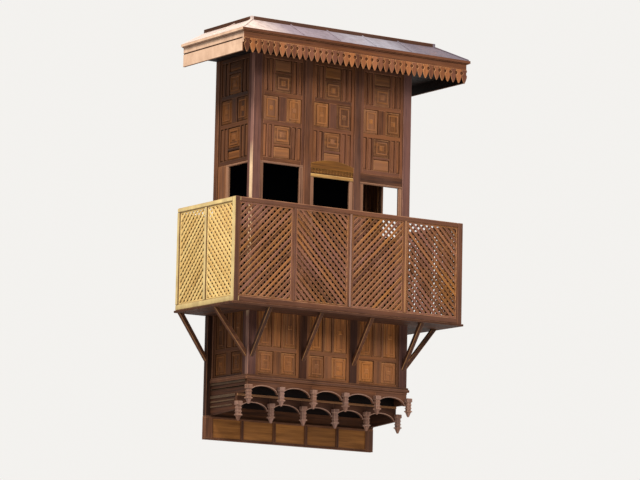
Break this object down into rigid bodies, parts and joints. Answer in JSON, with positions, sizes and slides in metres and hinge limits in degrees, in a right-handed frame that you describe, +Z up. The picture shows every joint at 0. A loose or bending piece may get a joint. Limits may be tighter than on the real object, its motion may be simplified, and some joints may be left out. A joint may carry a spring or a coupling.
{
  "type": "mashrabiya oriel with lattice screen",
  "caption": "Projecting timber mashrabiya: panelled cabin with open windows, lattice screen round them, arcaded corbel with drops and hipped metal roof.",
  "frame": {"origin": "middle of the base board's back face, on the wall", "axes": "+X along the wall to the right seen from outside, +Y into the wall, +Z up"},
  "size_m": [2.89, 1.216, 4.336],
  "materials": {
    "dark_timber": "old oiled hardwood, dark brown, matt",
    "post_timber": "weathered hardwood, mauve brown, matt",
    "panel_timber": "oiled hardwood, warm brown",
    "carved_timber": "weathered carved hardwood",
    "sash_timber": "oiled hardwood, light brown",
    "screen_timber": "weathered hardwood",
    "lattice_timber": "weathered hardwood slats",
    "fascia_timber": "red brown stained softwood",
    "roof_metal": "galvanised sheet, dull blue grey"
  },
  "bodies": {
    "root": {"base_board": "dark_timber", "cover_strips": "dark_timber", "corbel_upper_arcade": "carved_timber", "corbel_lower_arcade": "carved_timber", "corbel_pendants": "carved_timber", "corbel_cheek_left": "dark_timber", "corbel_cheek_right": "dark_timber", "corbel_lining": "dark_timber", "floor_deck": "dark_timber", "floor_moulding": "carved_timber", "wall_posts": "post_timber", "wall_head": "post_timber", "corner_posts": "post_timber", "mid_posts": "post_timber", "side_jambs": "panel_timber", "lower_front_panel_1": "panel_timber", "lower_front_panel_2": "panel_timber", "lower_front_panel_3": "panel_timber", "upper_front_panel_1": "panel_timber", "upper_front_panel_2": "panel_timber", "upper_front_panel_3": "panel_timber", "lower_side_panels": "panel_timber", "upper_side_panels": "panel_timber", "window_stiles": "sash_timber", "window_rails": "sash_timber", "ledge_front": "dark_timber", "ledge_sides": "dark_timber", "screen_posts": "screen_timber", "screen_rails": "screen_timber", "front_lattice_1": "lattice_timber", "front_lattice_2": "lattice_timber", "front_lattice_3": "lattice_timber", "front_lattice_4": "lattice_timber", "side_lattice_left": "lattice_timber", "side_lattice_right": "lattice_timber", "struts": "post_timber", "ceiling": "dark_timber", "fascia_front": "fascia_timber", "fascia_sides": "fascia_timber", "valance_front": "fascia_timber", "roof_sheet": "roof_metal", "roof_wall_plate": "dark_timber", "roof_curb": "dark_timber"}
  },
  "joints": []
}
